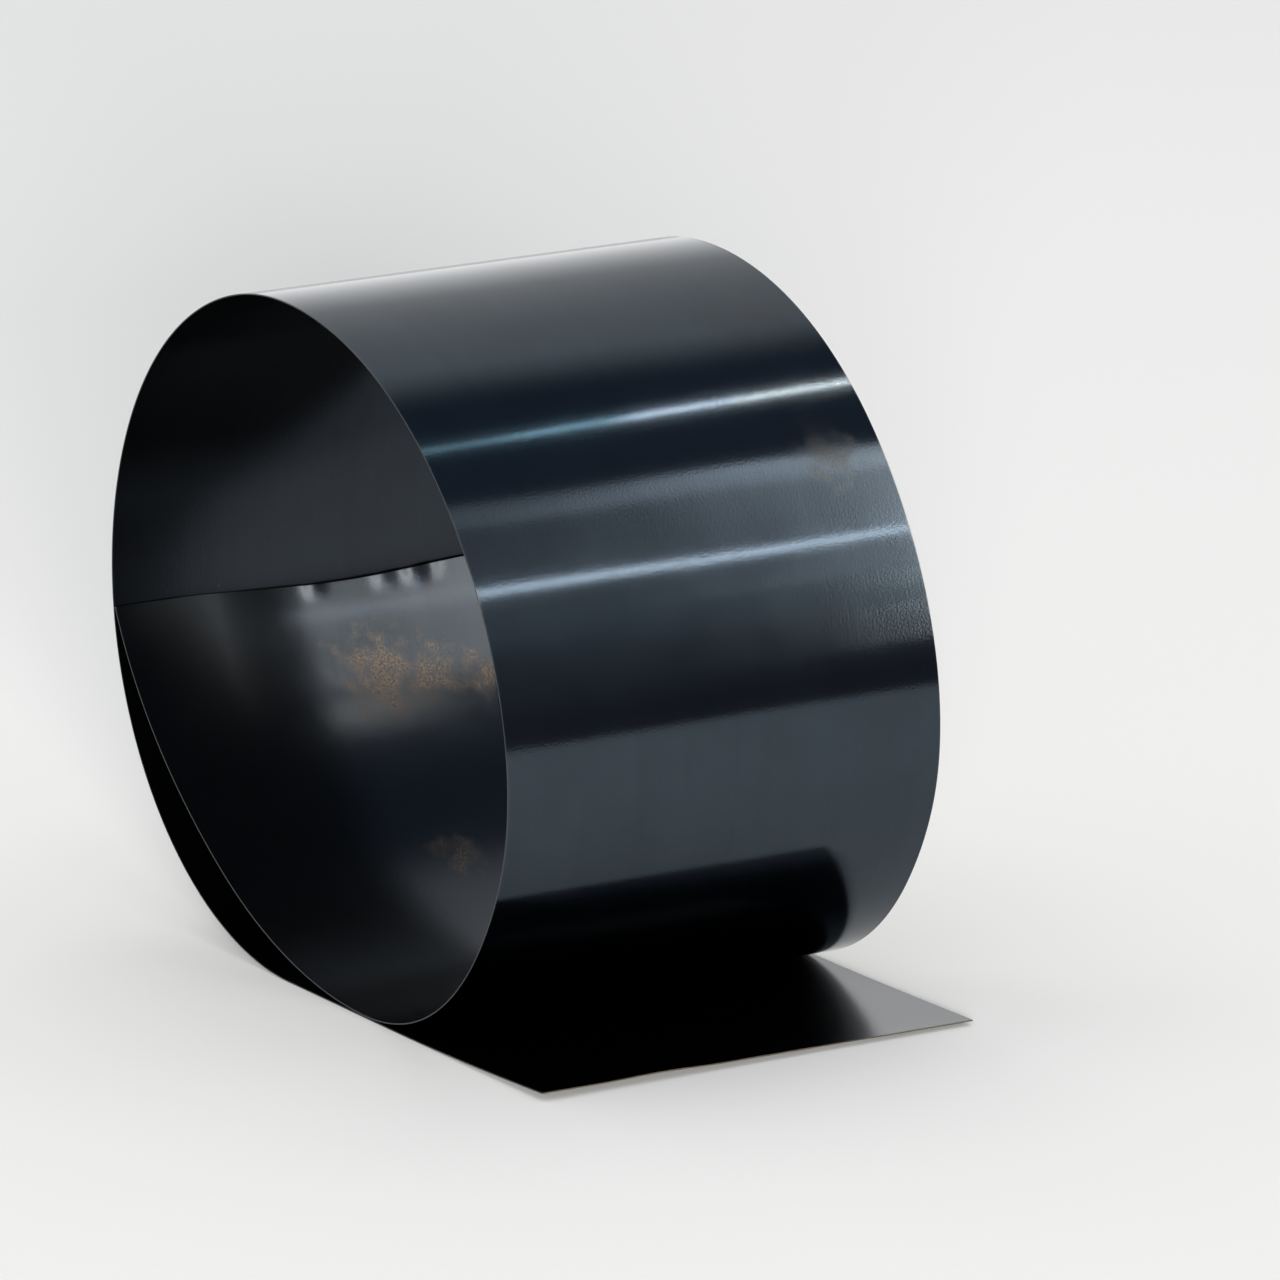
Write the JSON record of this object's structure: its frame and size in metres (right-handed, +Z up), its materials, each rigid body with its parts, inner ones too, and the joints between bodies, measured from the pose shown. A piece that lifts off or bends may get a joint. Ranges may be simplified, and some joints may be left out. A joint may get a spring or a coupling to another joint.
{
  "type": "spring steel strip",
  "caption": "Wide, thin blued spring steel strip, loosely rolled on its side over its own flat tail; loose stock for cutting springs, shims and clips.",
  "frame": {"origin": "on the floor, under the middle of the outline seen from above", "axes": "+X along the flat tail towards its free end, +Y across the strip's width, +Z up"},
  "size_m": [0.2522, 0.15, 0.21],
  "materials": {
    "blued_steel": "dark blue-black tempered steel, semi-gloss, with faint rolling streaks and straw-brown temper stains"
  },
  "bodies": {
    "root": {"strip": "blued_steel"}
  },
  "joints": []
}
